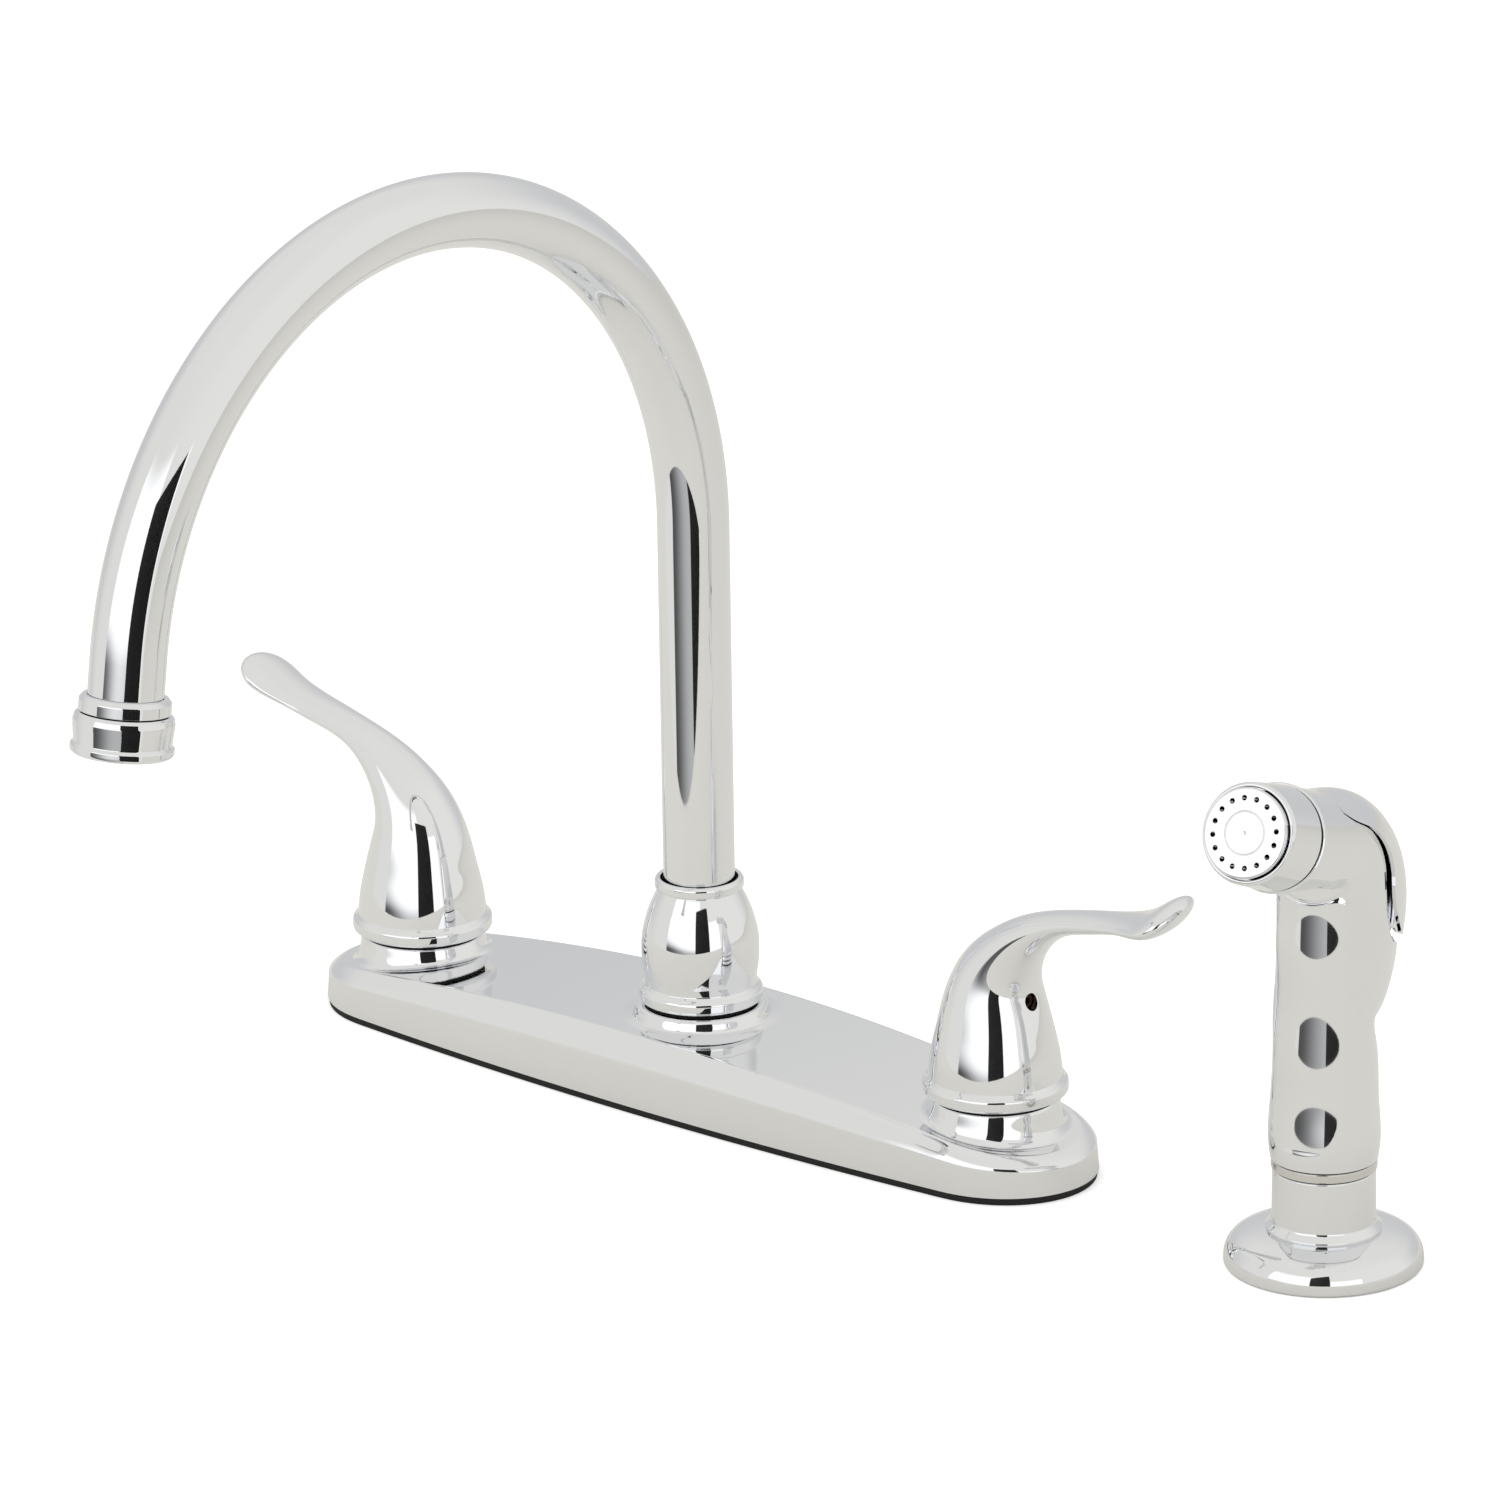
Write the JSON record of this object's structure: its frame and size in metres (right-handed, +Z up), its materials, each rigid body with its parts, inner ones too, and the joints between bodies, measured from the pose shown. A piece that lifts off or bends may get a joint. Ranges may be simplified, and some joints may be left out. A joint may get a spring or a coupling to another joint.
{
  "type": "side spray kitchen faucet",
  "caption": "Deck-mounted kitchen faucet with a gooseneck spout between two lever handles on a cover plate, and a separate hand spray standing in its own holder.",
  "frame": {"origin": "centre of the spout's hole on top of the sink deck, at the underside of the gasket", "axes": "+Z up, -Y to the front over the bowl, +X towards the cold handle and the spray"},
  "size_m": [0.4003, 0.258, 0.3226],
  "materials": {
    "chrome": "bright chrome plate, mirror polished",
    "satin_chrome": "chrome plate over brass, slightly softer polish",
    "brass": "machined brass, bare",
    "black_rubber": "black moulded rubber",
    "white_nylon": "white nylon, moulded",
    "ceramic": "white ceramic, ground and lapped",
    "dark_steel": "dark oxide steel",
    "zinc": "die-cast zinc, bare",
    "steel": "stainless steel"
  },
  "bodies": {
    "base": {"deck_plate": "chrome", "deck_gasket": "black_rubber", "hot_valve_body": "brass", "hot_cartridge_shell": "brass", "hot_seat_seal": "black_rubber", "hot_fixed_disc": "ceramic", "hot_bonnet_nut": "brass", "hot_deck_washer": "steel", "hot_locknut": "brass", "hot_crossover_tube": "brass", "cold_valve_body": "brass", "cold_cartridge_shell": "brass", "cold_seat_seal": "black_rubber", "cold_fixed_disc": "ceramic", "cold_bonnet_nut": "brass", "cold_deck_washer": "steel", "cold_locknut": "brass", "cold_crossover_tube": "brass", "spout_post": "brass", "spout_hub": "chrome", "glide_washer": "white_nylon", "spout_bushing": "white_nylon", "diverter_seat": "brass", "spray_nipple": "brass", "spray_holder": "chrome", "spray_holder_washer": "steel", "spray_holder_nut": "zinc"},
    "hot_lever": {"hot_moving_disc": "ceramic", "hot_stem": "brass", "hot_handle": "chrome", "hot_set_screw": "dark_steel"},
    "cold_lever": {"cold_moving_disc": "ceramic", "cold_stem": "brass", "cold_handle": "chrome", "cold_set_screw": "dark_steel"},
    "spout": {"spout_tube": "chrome", "spout_foot": "brass", "spout_seal_1": "black_rubber", "spout_seal_2": "black_rubber", "spout_collar": "chrome", "aerator_shell": "chrome", "aerator_screen": "white_nylon", "aerator_washer": "black_rubber"},
    "diverter": {"diverter_piston": "white_nylon"},
    "hose_end": {"spray_coupling": "satin_chrome", "coupling_seal": "black_rubber"},
    "spray": {"spray_body": "chrome", "spray_bezel": "chrome", "spray_face": "chrome", "spray_gasket": "black_rubber", "trigger_pin": "steel", "valve_gland": "white_nylon"},
    "spray_trigger": {"trigger": "chrome"},
    "plunger": {"valve_plunger": "steel", "plunger_seal": "black_rubber", "plunger_spring": "steel"}
  },
  "joints": [
    {"name": "hot_handle_turn", "type": "hinge", "parent": "base", "child": "hot_lever", "pos_m": [-0.1016, 0, 0], "axis": [0, 0, 1], "range_deg": [0, 90]},
    {"name": "cold_handle_turn", "type": "hinge", "parent": "base", "child": "cold_lever", "pos_m": [0.1016, 0, 0], "axis": [0, 0, 1], "range_deg": [-90, 0]},
    {"name": "spout_swivel", "type": "hinge", "parent": "base", "child": "spout", "pos_m": [0, 0, 0], "axis": [0, 0, 1], "continuous": true},
    {"name": "diverter_lift", "type": "slide", "parent": "base", "child": "diverter", "axis": [0, 0, 1], "range_m": [0, 0.005]},
    {"name": "spray_lift", "type": "slide", "parent": "base", "child": "hose_end", "axis": [0, 0, 1], "range_m": [0, 0.06]},
    {"name": "spray_turn", "type": "hinge", "parent": "hose_end", "child": "spray", "pos_m": [0.2069, 0.0025, 0], "axis": [0, 0, 1], "continuous": true},
    {"name": "trigger_press", "type": "hinge", "parent": "spray", "child": "spray_trigger", "pos_m": [0.20604, 0.00793, 0.119], "axis": [-0.9877, -0.1564, 0], "range_deg": [0, 8], "stiffness_Nm_per_rad": 0.8, "springref_deg": -4.58},
    {"name": "plunger_slide", "type": "slide", "parent": "spray", "child": "plunger", "axis": [0.1564, -0.9877, 0], "range_m": [0, 0.0031]}
  ],
  "couplings": [
    {"joint": "plunger_slide", "follows": "trigger_press", "m_per_rad": 0.022}
  ]
}
